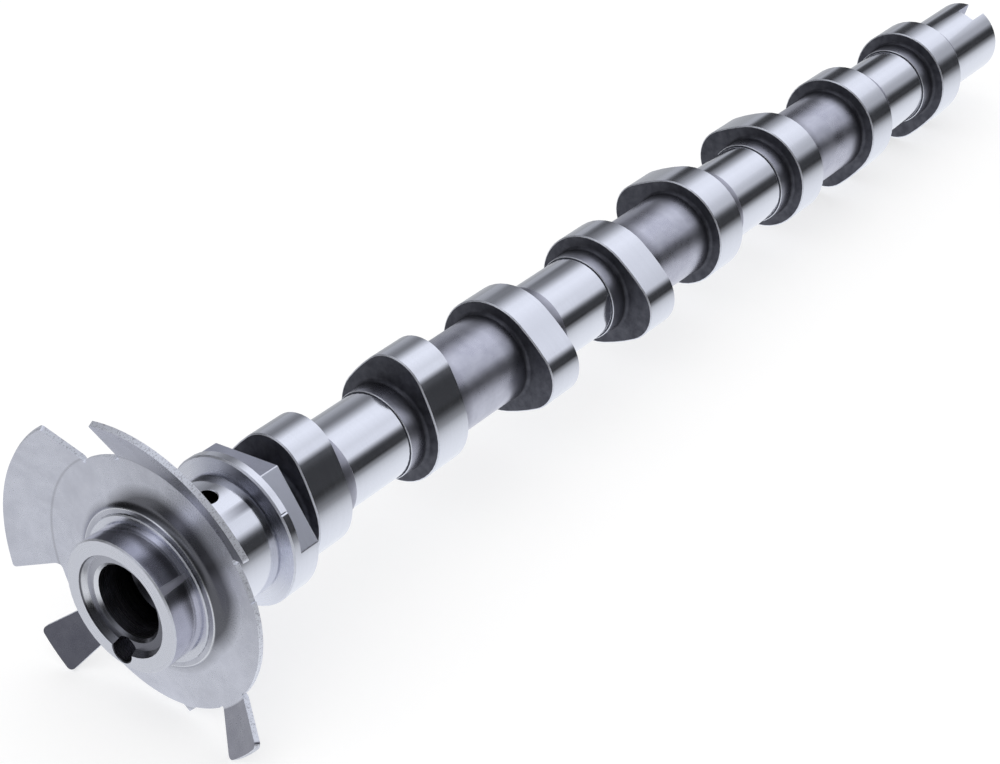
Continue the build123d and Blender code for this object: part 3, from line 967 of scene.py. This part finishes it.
def flange_finish(x, radius, along, normal):
    """Finish of a face of the flange."""
    if radius < FLANGE_INSIDE:
        return shaded_bore
    if along > FACE:
        return thrust_face if x < RIM_REAR else milled_steel
    if along > WALL:
        return bright_edge
    if x < RIM_REAR or radius > FLATS_RADIUS:
        return ground_steel
    from_flat = (degrees(atan2(normal.z, normal.y)) - FLAT_ANGLE) % FLAT_PITCH
    return milled_steel if min(from_flat, FLAT_PITCH - from_flat) < 1 else bright_edge


print("flange ends at", FLATS_REAR)

# %% [markdown]
# ### Bar, bearings and lobes
# A face belongs to the lobe or the bearing that it is nearest to, and else to the bar. A lobe
# is ground round its edge only: its sides and roots keep the casting skin.

# %% Finish of the bar
LOBE_ROOT = 1.2
LOBE_EDGE_RADIUS = 15.5
ROOT_LEAN = 0.05
BEARING_RELIEF = 0.25


def bar_finish(x, radius, along):
    """Finish of a face of the bar, a bearing journal or a lobe."""
    if min(abs(x - lobe) for lobe in LOBES) < LOBE_WIDTH / 2 + LOBE_ROOT:
        if radius > LOBE_EDGE_RADIUS and along < FACE:
            return ground_steel if along < WALL else bright_edge
        return lobe_face if along > ROOT_LEAN else cast_bar
    if min(abs(x - bearing) for bearing in BEARINGS) < BEARING_WIDTH / 2 + BEARING_RELIEF:
        if along > FACE:
            return lobe_face
        return ground_steel if along < WALL else bright_edge
    return cast_bar


print("bar ends at", BAR_REAR)

# %% [markdown]
# ### Whole shaft
# The rear end is a ground journal with a milled slot. With it the shaft is complete, and each
# of its faces is sent to its own zone.

# %% Dress the shaft
SHAFT_FINISHES = [ground_steel, turned_steel, cast_bar, lobe_face, milled_steel, shaded_bore,
                  hub_steel, bright_edge, recess_floor, recess_wall, thrust_face]
BAR_OVERLAP = 0.5
END_EDGE_RADIUS = 11.0


def end_finish(radius, outward, along):
    """Finish of a face of the end journal or its slot."""
    if along > FACE:
        return turned_steel
    if along > WALL and radius > END_EDGE_RADIUS:
        return bright_edge
    return ground_steel if outward > SIDEWAYS else milled_steel


def shaft_finish(middle, normal):
    """Finish of a face of the camshaft, from its middle in mm and its normal."""
    radius = hypot(middle.y, middle.z)
    outward = outwardness(middle, normal, radius)
    along = abs(normal.x)
    if middle.x < FLANGE_FRONT - TOUCH:
        return front_finish(middle.x, radius, outward, along)
    if middle.x < FLATS_REAR + TOUCH:
        return flange_finish(middle.x, radius, along, normal)
    if middle.x < BAR_REAR - BAR_OVERLAP:
        return bar_finish(middle.x, radius, along)
    return end_finish(radius, outward, along)


dress(camshaft, SHAFT_FINISHES, shaft_finish)

# %% [markdown]
# ## Dress the wheel
# A sheared edge is known by where it looks: straight round the axis at the ends of a vane,
# straight out at the rim of the disc, and outwards at the tips of the vanes. The two narrow
# vanes are known by their angle.

# %% Dress the wheel
WHEEL_FINISHES = [sheet_steel, sheared_edge, shaded_right_tab, shaded_left_tab]
UPRIGHT = 0.05
VANE_END_RADIUS = 33.0
VANE_END_OUTWARD = 0.3
DISC_RIM = (32.5, 36.5)
TIP_RADIUS = 43.5
TIP_OUTWARD = 0.4
TIP_REAR = 7.0
RIGHT_TAB_ANGLES = (210, 240)
LEFT_TAB_ANGLES = (300, 330)


def wheel_finish(middle, normal):
    """Finish of a face of the sensor wheel, from its middle in mm and its normal."""
    radius = hypot(middle.y, middle.z)
    outward = outwardness(middle, normal, radius)
    upright = abs(normal.x) < UPRIGHT
    vane_end = upright and radius > VANE_END_RADIUS and abs(outward) < VANE_END_OUTWARD
    disc_rim = upright and DISC_RIM[0] < radius < DISC_RIM[1]
    vane_tip = radius > TIP_RADIUS and outward > TIP_OUTWARD and middle.x < TIP_REAR
    if vane_end or disc_rim or vane_tip:
        return sheared_edge
    angle = degrees(atan2(middle.z, middle.y)) % 360
    if radius > BEND_RADIUS and RIGHT_TAB_ANGLES[0] < angle < RIGHT_TAB_ANGLES[1]:
        return shaded_right_tab
    if radius > BEND_RADIUS and LEFT_TAB_ANGLES[0] < angle < LEFT_TAB_ANGLES[1]:
        return shaded_left_tab
    return sheet_steel


dress(sensor_wheel, WHEEL_FINISHES, wheel_finish)
